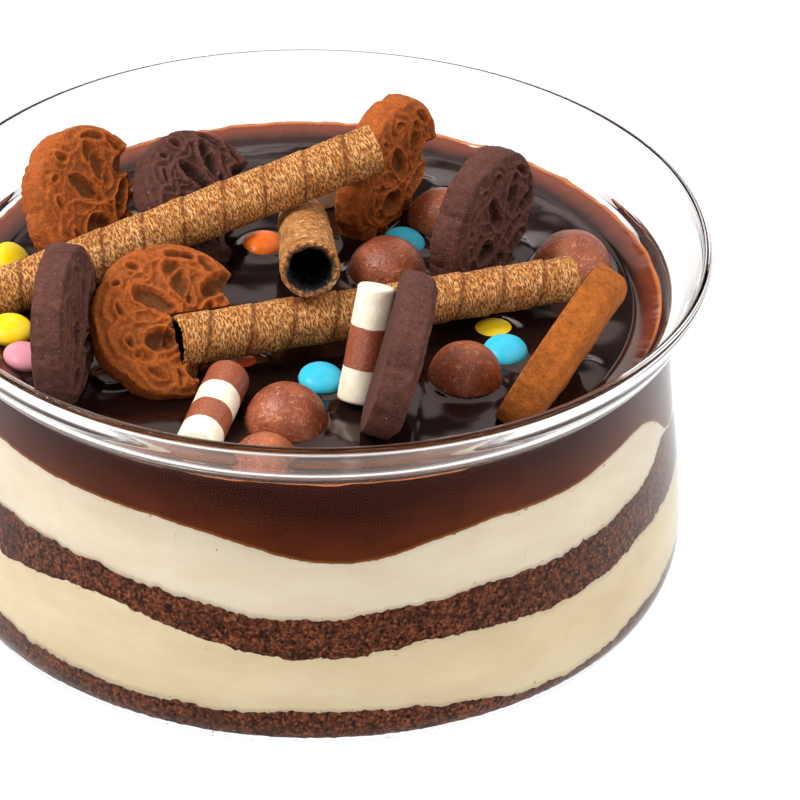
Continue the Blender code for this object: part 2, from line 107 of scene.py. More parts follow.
# Where the top's edge meets the glass, at about which height the inside radius is taken.
GANACHE_EDGE_HEIGHT = 80.0 * MM
# Each boundary between two layers, at the glass: its level (mm), then the smooth rises and dips
# on it, as the azimuth of the middle and the width (degrees) and the height (mm).
BOUNDARIES = {
    "lower_sponge_top": (14.4, ((5, 15, 1.8), (42, 16, -4.2), (-70, 30, 3.5), (150, 40, 2.0))),
    "lower_cream_top": (35.0, ((-34, 14, 4.6), (0, 14, -3.2), (42, 14, -2.4), (120, 45, 2.5))),
    "upper_sponge_top": (49.0, ((0, 26, -6.0), (45, 18, -2.4), (74, 8, 4.0), (170, 50, 1.5))),
    "upper_cream_top": (67.0, ((5, 18, -8.6), (42, 14, -2.8), (80, 9.5, -17.0), (175, 45, -3.0))),
}
# How ragged each boundary is: the height of its small waves (mm).
RAGGED = {
    "lower_sponge_top": 0.9,
    "lower_cream_top": 0.9,
    "upper_sponge_top": 0.9,
    "upper_cream_top": 0.3,
}

# ---------------------------------------------------------------- toppings (millimetres)
# Each wafer roll: its first end and radius there, its other end and radius there.
ROLLS = {
    "wafer_roll_front": ((-34.7, -40.4, 89.3), 6.9, (69.0, -4.2, 88.0), 6.1),
    "wafer_roll_middle": ((-0.7, -30.4, 104.9), 7.8, (-2.8, 25.8, 87.4), 6.9),
    "wafer_roll_back": ((-86.6, -9.6, 82.2), 6.8, (16.9, 23.4, 111.4), 6.8),
}
ROLL_WALL = 2.2
ROLL_PITCH = 11.5
ROLL_COLUMNS = 120
ROLL_ROW = 0.45
BORE_ROWS = 90

# Each banded sweet: foot, top, radius.
STICKS = {
    "stick_standing": ((11.1, -53.0, 79.8), (16.3, -42.9, 108.0), 4.9),
    "stick_lying": ((-21.1, -49.8, 84.5), (-28.5, -83.0, 84.5), 5.7),
    "stick_hidden": ((4.5, 46.5, 84.0), (-2.6, 62.0, 84.0), 5.0),
}

# The heights along each at which its bands change, and whether the first band is brown.
STICK_BANDS = {
    "stick_standing": ((8.9, 19.8), False),
    "stick_lying": ((10.2, 18.4, 27.0), True),
    "stick_hidden": ((9.0, 18.0), False),
}
STICK_BEVEL = 0.9
STICK_COLUMNS = 64

# The same sticks in the order that a roll is given in.
STICKS_AS_ROLLS = {name: (foot, radius, top, radius) for name, (foot, top, radius) in STICKS.items()}

# Each biscuit: middle (mm), radius, azimuth and elevation that its face looks to, the direction
# in which its broken side lies, as an angle from its own right, the fraction of its radius that
# is kept on that side, and its kind.
COOKIES = {
    "cookie_dark_front": ((22.0, -62.2, 99.3), 21.2, 85.0, -14.5, -90.0, 0.97, "dark"),
    "cookie_plain_right": ((63.5, -52.8, 95.4), 23.5, 66.0, -25.0, -90.0, 0.97, "plain"),
    "cookie_dark_left": ((-62.2, -46.8, 98.1), 20.3, 81.0, 3.0, -90.0, 0.97, "dark"),
    "cookie_brown_left": ((-36.2, -34.8, 91.3), 21.0, 24.0, 50.0, -34.0, 0.62, "brown"),
    "cookie_brown_back_left": ((-59.6, 22.0, 93.8), 21.3, 56.0, 30.0, -35.0, 0.55, "brown"),
    "cookie_dark_back": ((-29.5, 29.8, 91.0), 20.5, 58.0, 49.0, -60.0, 0.5, "dark"),
    "cookie_brown_back": ((20.6, 44.6, 91.0), 22.0, 60.0, 0.0, -48.0, 0.5, "brown"),
    "cookie_dark_right": ((45.6, 11.0, 94.8), 21.4, 58.0, -2.0, -50.0, 0.75, "dark"),
}
COOKIE_COLUMNS = 240
COOKIE_ROWS = 68
COOKIE_EDGE = 6.2
COOKIE_TOP = 8.8
PLAIN_COOKIE_THICKNESS = 9.8
# What the mould leaves in a biscuit's face: the kind, then the place of its middle, its half length
# and half width as fractions of the radius, and the turn of its length in degrees.
COOKIE_MOULD = (
    ("arch", -0.06, -0.34, 0.23, 0.17, 34.0),
    ("arch", 0.50, -0.54, 0.20, 0.16, 44.0),
    ("arch", 0.37, 0.62, 0.24, 0.14, 49.0),
    ("leaf", -0.27, 0.10, 0.33, 0.13, -14.0),
    ("leaf", -0.10, 0.47, 0.33, 0.14, 136.0),
    ("leaf", 0.32, 0.10, 0.30, 0.10, 80.0),
    ("oval", -0.68, -0.17, 0.12, 0.05, 119.0),
    ("oval", -0.01, -0.77, 0.13, 0.06, -24.0),
    ("oval", -0.66, 0.44, 0.10, 0.07, 0.0),
    ("pit", -0.43, -0.53, 0.10, 0.05, -36.0),
    ("pit", -0.80, 0.14, 0.07, 0.05, 30.0),
    ("leaf", -0.18, 0.80, 0.22, 0.07, 12.0),
    ("leaf", 0.20, 0.80, 0.19, 0.07, -26.0),
    ("pit", 0.27, -0.72, 0.12, 0.05, 124.0),
    ("leaf", -0.20, -0.60, 0.15, 0.08, 10.0),
    ("pit", 0.62, 0.30, 0.13, 0.06, 20.0),
    ("pit", 0.68, -0.15, 0.14, 0.07, 80.0),
    ("leaf", 0.38, -0.22, 0.16, 0.10, -30.0),
    ("net", -0.30, 0.25, 0.52, 0.30, 70.0),
    ("net", 0.25, 0.30, 0.50, 0.32, -35.0),
    ("net", -0.25, -0.38, 0.46, 0.34, 20.0),
    ("net", 0.30, -0.35, 0.44, 0.30, -60.0),
)
# The depth (mm) of each kind, the width of its sides, and the height (mm) of its raised outline.
MOULD_KINDS = {
    "arch": (2.3, 0.110, 1.15),
    "leaf": (1.1, 0.090, 1.15),
    "oval": (0.8, 0.070, 1.10),
    "pit": (1.2, 0.070, 1.00),
    "net": (0.0, 0.100, 1.00),
}
# Bites out of a broken side: the angle (degrees), the half width (radians) and the depth (mm).
COOKIE_BITES = ((-46.0, 0.20, 3.2), (4.0, 0.14, 1.8), (52.0, 0.22, 3.4))
# What a biscuit is broken or dented round.
NOTCHES = (
    ("cookie_brown_left", "wafer_roll_front"),
    ("cookie_brown_left", "stick_lying"),
    ("cookie_dark_left", "cookie_brown_left"),
    ("cookie_brown_back", "wafer_roll_back"),
    ("cookie_brown_back_left", "wafer_roll_back"),
    ("cookie_dark_front", "stick_standing"),
)

# How much larger (mm) than the other topping the room is that it is given in a biscuit.
ROOM_GROWTH = 0.35

# Each chocolate ball: centre and radius.
BALLS = {
    "ball_middle": ((20.0, 11.4, 79.0), 10.9),
    "ball_right": ((39.5, -41.4, 79.8), 9.85),
    "ball_front": ((-6.3, -62.6, 79.0), 10.9),
    "ball_front_edge": ((-11.4, -82.0, 79.0), 8.7),
    "ball_far_right": ((70.0, 15.5, 79.0), 11.0),
    "ball_back": ((35.4, 40.2, 79.0), 9.9),
}

# Each sweet: centre, the azimuth and elevation that its flat side looks to, and its colour.
LENTILS = {
    "lentil_yellow_right": ((47.7, -16.0, 77.9), 0.0, 90.0, "yellow"),
    "lentil_blue_right": ((50.2, -28.5, 80.0), 0.0, 78.0, "blue"),
    "lentil_blue_front": ((2.4, -43.5, 80.4), 20.0, 80.0, "blue"),
    "lentil_blue_middle": ((24.8, 27.4, 79.6), 40.0, 75.0, "blue"),
    "lentil_orange_back": ((-13.5, 26.1, 79.2), 0.0, 85.0, "orange"),
    "lentil_yellow_left": ((-78.6, -22.0, 81.0), 20.0, 80.0, "yellow"),
    "lentil_pink_left": ((-73.8, -34.0, 80.2), 90.0, 80.0, "pink"),
    "lentil_yellow_back": ((-80.4, 11.0, 82.0), 60.0, 45.0, "yellow"),
    "lentil_yellow_middle": ((-5.0, -11.5, 79.5), 0.0, 90.0, "yellow"),
    "lentil_blue_hidden": ((8.0, -8.0, 79.5), 0.0, 90.0, "blue"),
    "lentil_red_front": ((-16.8, -35.0, 77.2), 0.0, 85.0, "red"),
}
LENTIL_RADIUS = 5.9
LENTIL_HALF_HEIGHT = 3.0

# ---------------------------------------------------------------- colours
# Each kind of biscuit: its ridges, made lighter as a painted highlight, its hollows, made darker as
# painted shade, its pale grains, and from which value of a noise these grains show.
BISCUIT_COLOURS = {
    "brown": ((0.37, 0.090, 0.017), (0.100, 0.034, 0.010), (0.55, 0.22, 0.07), 0.80),
    "dark": ((0.105, 0.040, 0.030), (0.010, 0.005, 0.005), (0.36, 0.22, 0.17), 0.72),
    "plain": ((0.35, 0.098, 0.015), (0.13, 0.032, 0.008), (0.60, 0.27, 0.08), 0.76),
}
SHELL_COLOURS = {
    "blue": (0.030, 0.43, 0.60),
    "yellow": (0.74, 0.52, 0.0),
    "orange": (0.67, 0.118, 0.0),
    "red": (0.75, 0.09, 0.01),
    "pink": (0.57, 0.22, 0.27),
}


# ================================================================ small tools
def smooth_step(t):
    t = np.clip(t, 0.0, 1.0)
    return t * t * (3.0 - 2.0 * t)


def wander(points, size, octaves=3):
    """Smooth noise of about -1 to 1 at each point, with features of the given size."""
    return np.array([noise.fractal(Vector(p) / size, 1.0, 2.0, octaves) for p in points])


def loft(name, rings, start=None, end=None, around=True, tube=False):
    """A mesh through rings of equally many points, closed by a middle point at either end.

    A tube closes on itself instead, from its last ring to its first.
    """
    rings = np.asarray(rings, float)
    rows, columns, _ = rings.shape
    points = list(rings.reshape(-1, 3))
    grid = np.arange(rows * columns).reshape(rows, columns)
    if tube:
        grid = np.vstack([grid, grid[:1]])
    if around:
        grid = np.hstack([grid, grid[:, :1]])
    faces = np.stack([grid[:-1, :-1], grid[:-1, 1:], grid[1:, 1:], grid[1:, :-1]], axis=-1)
    faces = [tuple(face) for face in faces.reshape(-1, 4).tolist()]
    if start is not None:
        points.append(np.asarray(start, float))
        hub = len(points) - 1
        faces += [(hub, b, a) for a, b in zip(grid[0, :-1].tolist(), grid[0, 1:].tolist())]
    if end is not None:
        points.append(np.asarray(end, float))
        hub = len(points) - 1
        faces += [(hub, a, b) for a, b in zip(grid[-1, :-1].tolist(), grid[-1, 1:].tolist())]
    mesh = bpy.data.meshes.new(name)
    mesh.from_pydata([tuple(p) for p in points], [], faces)
    bm = bmesh.new()
    bm.from_mesh(mesh)
    bmesh.ops.recalc_face_normals(bm, faces=bm.faces)
    bm.to_mesh(mesh)
    bm.free()
    mesh.shade_smooth()
    return mesh


def set_attribute(mesh, name, values):
    layer = mesh.attributes.new(name, "FLOAT", "POINT")
    layer.data.foreach_set("value", np.asarray(values, np.float32))


def piece(name, mesh, surface, replaced=(), place=None):
    """Put a mesh in the scene as a piece of the part.

    A piece that was made in its own axes is moved to its place point by point, and keeps its own
    coordinates as the attribute "own", which its material reads.
    """
    obj = bpy.data.objects.new(name, mesh)
    bpy.context.scene.collection.objects.link(obj)
    mesh.materials.append(surface)
    if place is not None:
        own = mesh.attributes.new("own", "FLOAT_VECTOR", "POINT")
        own.data.foreach_set("vector", [value for vertex in mesh.vertices for value in vertex.co])
        mesh.transform(place)
    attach(obj, "root")
    if replaced:
        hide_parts(*replaced)
    return obj


def turns_round(steps):
    """Angles (radians) at equal steps once round."""
    return np.arange(steps) * 2.0 * math.pi / steps


def ring(radius, z, steps):
    turns = turns_round(steps)
    return np.stack([radius * np.cos(turns), radius * np.sin(turns), np.full(steps, z)], axis=1)


def arc(center, radius, start, end, count):
    angles = np.radians(np.linspace(start, end, count))
    return [(center[0] + radius * math.cos(a), center[1] + radius * math.sin(a)) for a in angles]


# ================================================================ materials
class Surface:
    """A Principled material that is built up with short calls.

    The sizes of noises and the depths of bumps are in millimetres.
    """

    def __init__(self, name, color, roughness, own=False, **sockets):
        self.material = bpy.data.materials.new(name)
        self.material.use_nodes = True
        self.tree = self.material.node_tree
        self.shader = self.tree.nodes["Principled BSDF"]
        self.set("Base Color", (*color, 1.0))
        self.set("Roughness", roughness)
        for key, value in sockets.items():
            self.set(key.replace("_", " "), value)
        if own:
            self.coordinates = self.node("ShaderNodeAttribute", attribute_name="own").outputs["Vector"]
        else:
            self.coordinates = self.node("ShaderNodeTexCoord").outputs["Object"]

    def set(self, socket, value):
        self.shader.inputs[socket].default_value = value

    def node(self, kind, inputs=(), **settings):
        made = self.tree.nodes.new(kind)
        for key, value in settings.items():
            setattr(made, key, value)
        for key, value in dict(inputs).items():
            if isinstance(value, bpy.types.NodeSocket):
                self.tree.links.new(value, made.inputs[key])
            else:
                made.inputs[key].default_value = value
        return made

    def stretched(self, x, y, z):
        """Object coordinates with each axis multiplied."""
        return self.node("ShaderNodeMapping", {"Vector": self.coordinates, "Scale": (x, y, z)}).outputs[0]

    def noise(self, size, detail=3.0, roughness=0.5, vector=None):
        return self.node("ShaderNodeTexNoise", {
            "Vector": vector or self.coordinates, "Scale": 1000.0 / size, "Detail": detail,
            "Roughness": roughness}).outputs["Fac"]

    def math(self, operation, a, b=0.0, clamp=False):
        return self.node(
            "ShaderNodeMath", {0: a, 1: b}, operation=operation, use_clamp=clamp).outputs[0]

    def between(self, value, low, high, out_low=0.0, out_high=1.0):
        """value mapped from low..high to out_low..out_high, and held there beyond."""
        return self.node("ShaderNodeMapRange", {
            "Value": value, "From Min": low, "From Max": high, "To Min": out_low,
            "To Max": out_high}).outputs[0]

    def axis(self, name):
        return self.node("ShaderNodeSeparateXYZ", {0: self.coordinates}).outputs[name]

    def radius(self):
        """Distance from the object's own Z axis."""
        flat = self.node("ShaderNodeVectorMath", {0: self.coordinates, 1: (1.0, 1.0, 0.0)},
                         operation="MULTIPLY").outputs[0]
        return self.node("ShaderNodeVectorMath", {0: flat}, operation="LENGTH").outputs["Value"]

    def attribute(self, name):
        return self.node("ShaderNodeAttribute", attribute_name=name).outputs["Fac"]

    def mix(self, factor, a, b):
        """A colour mixed from two, either of them a socket or an RGB triple."""
        made = self.node("ShaderNodeMix", data_type="RGBA")
        for index, value in ((0, factor), (6, a), (7, b)):
            if isinstance(value, bpy.types.NodeSocket):
                self.tree.links.new(value, made.inputs[index])
            elif index:
                made.inputs[index].default_value = (*value, 1.0)
            else:
                made.inputs[index].default_value = value
        return made.outputs[2]

    def paint(self, color):
        self.tree.links.new(color, self.shader.inputs["Base Color"])

    def bump(self, height, distance, strength=1.0):
        """Bump from a height of 0 to 1, whose full depth is the distance in millimetres."""
        made = self.node("ShaderNodeBump", {
            "Height": height, "Distance": distance * MM, "Strength": strength})
        self.tree.links.new(made.outputs[0], self.shader.inputs["Normal"])


def glass_surface():
    s = Surface("clear_glass", (1.0, 1.0, 1.0), 0.0, Transmission_Weight=1.0, IOR=GLASS_IOR)
    s.set("Specular Tint", (GLASS_SHEEN, GLASS_SHEEN, GLASS_SHEEN, 1.0))
    return s.material


def cream_surface():
    """Cream that is a little whiter in the upper layer, with crumbs in it next to the sponge."""
    s = Surface("cream", (0.88, 0.77, 0.58), 0.6, Specular_IOR_Level=0.05)
    broad = s.noise(22.0, 4.0, 0.6, s.stretched(1.0, 1.0, 2.6))
    height = s.axis("Z")
    upper = s.mix(s.between(broad, 0.35, 0.68), (0.95, 0.85, 0.67), (0.88, 0.76, 0.57))
    lower = s.mix(s.between(broad, 0.35, 0.68), (0.90, 0.77, 0.53), (0.82, 0.67, 0.43))
    color = s.mix(s.between(height, 38.0 * MM, 46.0 * MM), lower, upper)
    near = s.between(s.attribute("near"), 0.0, 2.6 * MM, 0.10, 0.0)
    speck = s.between(s.math("ADD", s.noise(1.3, 3.0, 0.6), near), 0.73, 0.77)
    color = s.mix(s.math("MULTIPLY", speck, 0.75), color, (0.16, 0.060, 0.035))
    s.paint(color)
    return s.material


def sponge_surface():
    """Chocolate sponge: a dense heap of reddish crumbs with black-brown gaps between them."""
    s = Surface("sponge", (0.110, 0.034, 0.018), 0.85, Specular_IOR_Level=0.05)
    crumbs = s.noise(1.9, 4.0, 0.75)
    grains = s.noise(0.95, 3.0, 0.7)
    patches = s.noise(9.0, 3.0, 0.6)
    color = s.mix(s.between(crumbs, 0.40, 0.60), (0.034, 0.013, 0.009), (0.195, 0.060, 0.029))
    color = s.mix(s.between(grains, 0.55, 0.64, 0.0, 0.85), color, (0.42, 0.135, 0.055))
    color = s.mix(s.between(grains, 0.45, 0.37, 0.0, 0.8), color, (0.012, 0.006, 0.006))
    color = s.mix(s.between(patches, 0.52, 0.66, 0.0, 0.45), color, (0.050, 0.019, 0.013))
    s.paint(color)
    s.bump(crumbs, 0.4)
    return s.material


def ganache_surface():
    """The glossy top: nearly black, and red-brown where it thins out on the glass."""
    s = Surface("ganache", (0.010, 0.004, 0.003), 0.10, IOR=1.5)
    s.set("Specular Tint", (1.0, 0.66, 0.60, 1.0))
    ragged = s.noise(5.0, 4.0, 0.65)
    wobble = s.math("MULTIPLY", s.math("SUBTRACT", ragged, 0.5), 3.0 * MM)
    out = s.math("ADD", s.radius(), wobble)
    deep, thin, stain = (0.0085, 0.0035, 0.0030), (0.130, 0.026, 0.011), (0.45, 0.125, 0.025)
    color = s.mix(s.between(out, 86.0 * MM, 90.5 * MM), deep, thin)
    edge = s.math("ADD", s.radius(), s.math("MULTIPLY", wobble, 0.35))
    s.paint(s.mix(s.between(edge, 91.5 * MM, 92.4 * MM), color, stain))
    return s.material


def ganache_side_surface():
    """The chocolate that lies against the glass, with a thin orange-brown line at its foot."""
    s = Surface("ganache_side", (0.055, 0.014, 0.008), 0.7, Specular_IOR_Level=0.03)
    height = s.axis("Z")
    broad = s.noise(16.0, 3.0, 0.6, s.stretched(1.0, 1.0, 2.0))
    above = s.math("SUBTRACT", height, s.attribute("foot"))
    color = s.mix(s.between(above, 14.0 * MM, 0.0), (0.046, 0.009, 0.005), (0.150, 0.030, 0.008))
    color = s.mix(s.between(broad, 0.46, 0.62, 0.0, 0.3), color, (0.044, 0.009, 0.005))
    color = s.mix(s.between(above, 1.0 * MM, 0.1 * MM), color, (0.38, 0.130, 0.025))
    s.paint(color)
    return s.material


def cookie_surface(name, high, low, speck, speck_share):
    """high is the colour of ridges, lighter as a painted highlight, low that of hollows, darker as painted
    shade; specks are pale grains.
    """
    s = Surface(name, high, 0.85, own=True, Specular_IOR_Level=0.12)
    relief = s.attribute("relief")
    grain = s.noise(0.6, 3.0, 0.65)
    crust = s.noise(1.7, 3.0, 0.7)
    broad = s.noise(9.0, 3.0, 0.6)
    # Painted shade and highlight: by the relief, the colour runs from low in the hollows to high on the
    # ridges.
    color = s.mix(s.between(relief, -1.9, 0.20), low, high)
    dark = tuple(channel * 0.34 for channel in high)
    bright = tuple(channel * 1.45 for channel in high)
    color = s.mix(s.between(broad, 0.40, 0.66, 0.0, 0.35), color, dark)
    color = s.mix(s.between(crust, 0.48, 0.36, 0.0, 0.5), color, dark)
    color = s.mix(s.between(crust, 0.56, 0.70, 0.0, 0.5), color, bright)
    color = s.mix(s.between(grain, 0.50, 0.64, 0.0, 0.45), color, dark)
    color = s.mix(s.between(s.noise(0.6, 1.0), speck_share, speck_share + 0.05, 0.0, 0.8), color, speck)
    s.paint(color)
    s.bump(s.math("ADD", crust, s.math("MULTIPLY", grain, 0.6)), 0.42)
    return s.material


def wafer_surface():
    """Tan wafer with dense short dark strokes round it; the inside of each roll is painted nearly black as
    painted shade, with grey crumbs on it.
    """
    s = Surface("wafer", (0.58, 0.26, 0.08), 0.85, own=True, Specular_IOR_Level=0.15)
    turn = s.math("ARCTAN2", s.axis("Y"), s.axis("X"))
    unrolled = s.node("ShaderNodeCombineXYZ", {
        "X": s.math("MULTIPLY", turn, 6.9 * MM), "Y": s.axis("Z"), "Z": 0.0}).outputs[0]
    long = s.node("ShaderNodeMapping", {"Vector": unrolled, "Scale": (0.42, 1.35, 1.0)}).outputs[0]
    strokes = s.noise(0.62, 2.0, 0.6, long)
    broad = s.noise(9.0, 3.0, 0.6)
    streak = s.noise(3.0, 3.0, 0.6, long)
    grain = s.noise(0.7, 3.0, 0.7)
    color = s.mix(s.between(broad, 0.36, 0.66), (0.60, 0.275, 0.085), (0.40, 0.150, 0.036))
    color = s.mix(s.between(streak, 0.46, 0.62, 0.0, 0.7), color, (0.76, 0.42, 0.17))
    color = s.mix(s.between(grain, 0.42, 0.66, 0.0, 0.4), color, (0.34, 0.115, 0.028))
    pit = s.between(strokes, 0.47, 0.58, 0.0, 0.88)
    color = s.mix(pit, color, (0.130, 0.038, 0.010))
    color = s.mix(s.attribute("seam"), color, (0.150, 0.042, 0.012))
    # Painted shade inside each roll: nearly black, with grey crumbs.
    crumbs = s.mix(s.between(s.noise(1.6, 3.0, 0.7), 0.56, 0.70), (0.010, 0.008, 0.009), (0.16, 0.13, 0.12))
    color = s.mix(s.attribute("bore_shade"), color, crumbs)
    s.paint(color)
    s.bump(s.math("SUBTRACT", grain, pit), 0.30)
    return s.material


def ball_surface():
    s = Surface("milk_chocolate", (0.33, 0.09, 0.036), 0.34, own=True, Specular_IOR_Level=0.3)
    freckles = s.noise(1.3, 2.0, 0.6)
    bloom = s.noise(8.0, 3.0, 0.6)
    fine = s.noise(0.5, 2.0, 0.6)
    color = s.mix(s.between(bloom, 0.38, 0.66), (0.190, 0.042, 0.016), (0.330, 0.090, 0.036))
    color = s.mix(s.between(freckles, 0.60, 0.68, 0.0, 0.35), color, (0.70, 0.30, 0.17))
    color = s.mix(s.between(freckles, 0.42, 0.34, 0.0, 0.6), color, (0.15, 0.032, 0.014))
    color = s.mix(s.between(fine, 0.64, 0.70, 0.0, 0.5), color, (0.80, 0.44, 0.28))
    s.paint(color)
    s.bump(s.math("ADD", freckles, s.math("MULTIPLY", fine, 0.5)), 0.30)
    return s.material


def shell_surface(name, color):
    s = Surface(name, color, 0.25, own=True, Specular_IOR_Level=0.08)
    mottle = s.noise(3.0, 2.0, 0.5)
    pale = tuple(channel + (0.9 - channel) * 0.10 for channel in color)
    s.paint(s.mix(s.between(mottle, 0.35, 0.70, 0.0, 0.5), color, pale))
    return s.material


def stick_surface(name, edges, first_brown):
    """A cream sweet with brown bands; edges are the heights, in millimetres, where bands change."""
    s = Surface(name, (0.84, 0.76, 0.60), 0.3, own=True)
    along = s.math("ADD", s.axis("Z"), s.math("MULTIPLY", s.noise(5.0, 2.0), 0.8 * MM))
    brown = 1.0 if first_brown else 0.0
    count = None
    for edge in edges:
        past = s.between(along, (edge + 0.35) * MM, (edge + 0.55) * MM)
        count = past if count is None else s.math("ADD", count, past)
    band = s.math("PINGPONG", s.math("ADD", count, brown), 1.0)
    dark = s.mix(s.between(s.noise(0.6, 2.0), 0.5, 0.7), (0.24, 0.060, 0.026), (0.36, 0.120, 0.062))
    pale = s.mix(s.between(s.noise(4.0, 2.0), 0.4, 0.6), (0.86, 0.79, 0.64), (0.79, 0.70, 0.53))
    s.paint(s.mix(band, pale, dark))
    s.bump(s.noise(1.2, 3.0), 0.10)
    return s.material


# ================================================================ glass bowl
def outer_radius(z):
    """Outside radius of the wall between the base's corner and the neck."""
    t = np.clip((NECK_HEIGHT - z) / (NECK_HEIGHT - CORNER_RADIUS), 0.0, 1.0) ** WALL_EASE
    return NECK_RADIUS + (BELLY_RADIUS - NECK_RADIUS) * smooth_step(t)


def inner_radius(z):
    """Inside radius of the glass from the floor up to the neck."""
    reach = CORNER_RADIUS - WALL_THICKNESS
    drop = np.clip(CORNER_RADIUS - z, 0.0, reach)
    corner = BELLY_RADIUS - CORNER_RADIUS + np.sqrt(reach ** 2 - drop ** 2)
    return np.where(z >= CORNER_RADIUS, outer_radius(z) - WALL_THICKNESS, corner)


def spline(points, count):
    """Smooth points through a few profile points (Catmull-Rom)."""
    points = [np.array(p) for p in points]
    points = [2 * points[0] - points[1]] + points + [2 * points[-1] - points[-2]]
    made = []
    for a, b, c, d in zip(points, points[1:], points[2:], points[3:]):
        for t in np.linspace(0.0, 1.0, count, endpoint=False):
            made.append(tuple(0.5 * (
                2 * b + (c - a) * t + (2 * a - 5 * b + 4 * c - d) * t ** 2
                + (3 * b - a - 3 * c + d) * t ** 3)))
    made.append(tuple(points[-2]))
    return made


def make_bowl(surface):
    corner_in = BELLY_RADIUS - CORNER_RADIUS
    reach = CORNER_RADIUS - WALL_THICKNESS
    floor_angle = -math.degrees(math.asin((CORNER_RADIUS - FLOOR_THICKNESS) / reach))
    heights = np.linspace(CORNER_RADIUS, NECK_HEIGHT, 26)
    inside = arc((corner_in, CORNER_RADIUS), reach, floor_angle, 0, 14)
    inside += [(float(inner_radius(z)), float(z)) for z in heights[1:]]
    lip_in = (RIM_RADIUS - LIP_THICKNESS, BOWL_HEIGHT - LIP_THICKNESS / 2)
    flare = spline([inside[-1], *((r * MM, z * MM) for r, z in COLLAR_INSIDE), lip_in], 6)
    lip = arc((RIM_RADIUS - LIP_THICKNESS / 2, BOWL_HEIGHT - LIP_THICKNESS / 2),
              LIP_THICKNESS / 2, 180, 0, 10)
    foot = (COLLAR_FOOT_RADIUS, COLLAR_FOOT_HEIGHT)
    collar = spline([
        lip[-1], (RIM_RADIUS - 1.6 * MM, BOWL_HEIGHT - 6.5 * MM), foot], 5)
    turn_in = spline([
        foot, (COLLAR_FOOT_RADIUS - 0.9 * MM, COLLAR_FOOT_HEIGHT - 1.0 * MM),
        (NECK_RADIUS + 1.0 * MM, NECK_HEIGHT + 1.6 * MM),
        (NECK_RADIUS, NECK_HEIGHT)], 5)
    outside = [(float(outer_radius(z)), float(z)) for z in heights[::-1]]
    corner = arc((corner_in, CORNER_RADIUS), CORNER_RADIUS, 0, -90, 16)
    profile = inside + flare[1:] + lip[1:] + collar[1:] + turn_in[1:] + outside[1:] + corner[1:]
    rings = [ring(r, z, GLASS_STEPS) for r, z in profile]
    mesh = loft("bowl", rings, (0.0, 0.0, FLOOR_THICKNESS), (0.0, 0.0, 0.0))
    piece("bowl", mesh, surface, ["glass_bowl"])


# ================================================================ layers
def boundary_heights(kind):
    """Height of a boundary at the glass at every step round the bowl, with its fine waves."""
    turns = turns_round(LAYER_STEPS)
    azimuths = np.degrees(turns) + 90.0
    level, rises = BOUNDARIES[kind]
    heights = np.full(LAYER_STEPS, level)
    for middle, width, rise in rises:
        away = (azimuths - middle + 180.0) % 360.0 - 180.0
        heights += rise * np.exp(-(away / width) ** 2)
    spots = np.stack([np.cos(turns), np.sin(turns), np.full(LAYER_STEPS, len(kind) * 1.7 + level)], 1)
    heights += RAGGED[kind] * (
        wander(spots, 0.09, 4) + 0.5 * wander(spots, 0.022, 3) + 0.45 * wander(spots, 0.009, 2))
    return heights * MM


def wall_ring(heights, bite=WALL_BITE):
    """Points just inside the glass wall at the given heights."""
    turns = turns_round(LAYER_STEPS)
    radii = inner_radius(heights) + bite
    return np.stack([radii * np.cos(turns), radii * np.sin(turns), heights], 1)


def inward(edge, level, fractions, sink):
    """Rings from a boundary's edge towards the middle, where it lies at its mean level."""
    rings = []
    for fraction in fractions:
        made = edge.copy()
        made[:, :2] *= fraction
        made[:, 2] = level + (edge[:, 2] - level) * fraction ** 2 + sink
        rings.append(made)
    return rings


def side_between(low, high, count):
    return [wall_ring(low + (high - low) * k / (count + 1)) for k in range(1, count + 1)]


def make_layer(name, low_kind, high_kind, rows, surface):
    """A layer of food between two boundaries, or from the glass floor where low_kind is None."""
    clear = 0.05 * MM
    high = boundary_heights(high_kind)
    if low_kind:
        low = boundary_heights(low_kind)
        high = np.maximum(high, low + LEAST_LAYER)
        low_level = low.mean() + clear
        bottom = inward(wall_ring(low), low.mean(), (0.4, 0.8), clear) + [wall_ring(low)]
    else:
        floor = FLOOR_THICKNESS - 0.25 * MM
        low = SPONGE_FOOT + 0.4 * MM * wander(ring(1.0, 0.0, LAYER_STEPS), 0.02, 3)
        low_level = floor
        bottom = [ring(radius * MM, floor + rise * MM, LAYER_STEPS) for radius, rise in SPONGE_CORNER]
        bottom.append(wall_ring(low))
    top = [wall_ring(high)] + inward(wall_ring(high), high.mean(), (0.8, 0.4), -clear)
    rings = bottom + side_between(low, high, rows) + top
    mesh = loft(name, rings, (0, 0, low_level), (0, 0, high.mean() - clear))
    near = [np.minimum(np.abs(made[:, 2] - low), np.abs(high - made[:, 2])) for made in rings]
    set_attribute(mesh, "near", np.append(np.concatenate(near), (1.0, 1.0)))
    piece(name, mesh, surface, [name])


def make_crumbs(surface):
    """Loose crumbs of sponge on the glass, in the corner under the lowest layer."""
    chance = random.Random(CRUMB_SEED)
    points, faces = [], []
    for _ in range(CRUMB_COUNT):
        size = chance.uniform(*CRUMB_SIZES) * MM
        azimuth = chance.uniform(0.0, 2.0 * math.pi)
        slope = math.radians(chance.uniform(*CRUMB_SLOPES))
        reach = CORNER_RADIUS - WALL_THICKNESS - 0.7 * size
        radius = BELLY_RADIUS - CORNER_RADIUS + reach * math.cos(slope)
        middle = Vector((
            radius * math.cos(azimuth), radius * math.sin(azimuth),
            CORNER_RADIUS + reach * math.sin(slope)))
        crumb = bmesh.new()
        bmesh.ops.create_icosphere(crumb, subdivisions=1, radius=size)
        first = len(points)
        points += [tuple(middle + vertex.co * chance.uniform(0.6, 1.1)) for vertex in crumb.verts]
        faces += [tuple(first + vertex.index for vertex in face.verts) for face in crumb.faces]
        crumb.free()
    mesh = bpy.data.meshes.new("crumbs")
    mesh.from_pydata(points, [], faces)
    piece("crumbs", mesh, surface)


